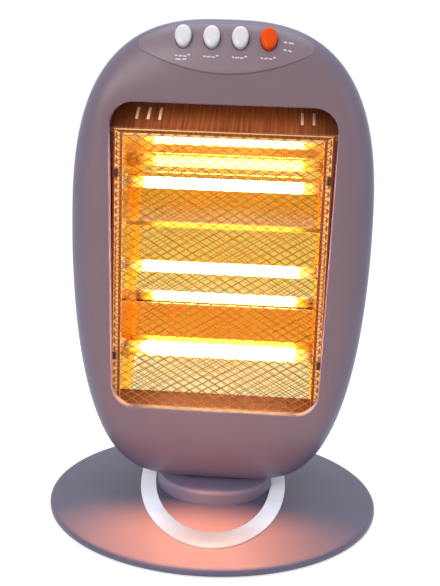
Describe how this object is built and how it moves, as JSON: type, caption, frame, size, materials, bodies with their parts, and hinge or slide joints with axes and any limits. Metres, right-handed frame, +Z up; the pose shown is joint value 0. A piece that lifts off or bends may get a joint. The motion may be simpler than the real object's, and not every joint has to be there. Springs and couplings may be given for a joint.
{
  "type": "halogen heater",
  "caption": "Egg-shaped upright halogen heater with glowing lamps behind a wire guard, push buttons on top, swivelling on a round base.",
  "frame": {"origin": "on the floor, under the centre of the round base", "axes": "+Z up, +X to the right of a person facing the heater, the heater's front faces -Y"},
  "size_m": [0.3, 0.3, 0.435],
  "materials": {
    "body_plastic": "satin moulded plastic, warm grey",
    "black_plastic": "matt moulded plastic, black",
    "steel_plate": "zinc-plated sheet steel",
    "steel_turned": "turned steel",
    "screw_steel": "plated screws",
    "rubber": "matt rubber",
    "white_plastic": "satin plastic, white",
    "button_white": "glossy plastic, white",
    "button_orange": "glossy plastic, orange",
    "guard_steel": "heat-tinted steel",
    "reflector_gold": "gold-tinted bright sheet",
    "quartz": "clear quartz",
    "filament": "glowing coil",
    "ceramic": "matt fired ceramic",
    "wire_sleeve": "heat-proof sleeve"
  },
  "bodies": {
    "base": {"base_plate": "body_plastic", "base_cover": "black_plastic", "base_ballast": "steel_plate", "rubber_feet": "rubber", "cover_screws": "screw_steel", "base_collar": "body_plastic", "collar_screws": "screw_steel", "trim_arc": "white_plastic", "swivel_spindle": "steel_turned", "spindle_screws": "screw_steel", "thrust_washer": "white_plastic", "retaining_nut": "steel_turned", "slotted_arm": "steel_plate"},
    "head": {"neck_skirt": "body_plastic", "neck_screws": "screw_steel", "chassis_plate": "steel_plate", "swing_motor": "steel_turned", "motor_screws": "screw_steel", "front_shell": "body_plastic", "rear_shell": "body_plastic", "shell_screws": "screw_steel", "control_panel": "body_plastic", "switch_bank": "black_plastic", "switch_bracket": "steel_plate", "guard_frame": "guard_steel", "guard_mesh": "guard_steel", "guard_clips": "guard_steel", "vent_cowl": "guard_steel", "reflector_back": "reflector_gold", "reflector_floor": "reflector_gold", "reflector_sides": "reflector_gold", "reflector_screws": "screw_steel", "lamp_tube_1": "quartz", "lamp_tube_2": "quartz", "lamp_tube_3": "quartz", "lamp_coil_1": "filament", "lamp_coil_2": "filament", "lamp_coil_3": "filament", "lamp_caps": "ceramic", "lamp_holders": "steel_plate", "heat_shield": "steel_plate", "thermal_cutout": "black_plastic", "tilt_switch": "black_plastic", "terminal_block": "white_plastic", "wiring": "wire_sleeve", "cord_gland": "black_plastic"},
    "crank": {"crank_arm": "white_plastic"},
    "button_1": {"button_1": "button_white"},
    "button_2": {"button_2": "button_white"},
    "button_3": {"button_3": "button_white"},
    "button_4": {"button_4": "button_orange"}
  },
  "joints": [
    {"name": "head_swivel", "type": "hinge", "parent": "base", "child": "head", "pos_m": [0, 0.022, 0], "axis": [0, 0, 1], "range_deg": [-35, 35]},
    {"name": "crank_turn", "type": "hinge", "parent": "head", "child": "crank", "pos_m": [-0.032, 0.022, 0.0618], "axis": [0, 0, 1], "range_deg": [-125.5, 125.5]},
    {"name": "button_1_press", "type": "slide", "parent": "head", "child": "button_1", "axis": [0, 0.9063, -0.4226], "range_m": [0, 0.003], "stiffness_N_per_m": 300, "springref_m": -0.002},
    {"name": "button_2_press", "type": "slide", "parent": "head", "child": "button_2", "axis": [0, 0.9063, -0.4226], "range_m": [0, 0.003], "stiffness_N_per_m": 300, "springref_m": -0.002},
    {"name": "button_3_press", "type": "slide", "parent": "head", "child": "button_3", "axis": [0, 0.9063, -0.4226], "range_m": [0, 0.003], "stiffness_N_per_m": 300, "springref_m": -0.002},
    {"name": "button_4_press", "type": "slide", "parent": "head", "child": "button_4", "axis": [0, 0.9063, -0.4226], "range_m": [0, 0.003], "stiffness_N_per_m": 300, "springref_m": -0.002}
  ],
  "couplings": [
    {"joint": "crank_turn", "follows": "head_swivel", "ratio": -3.5714}
  ]
}
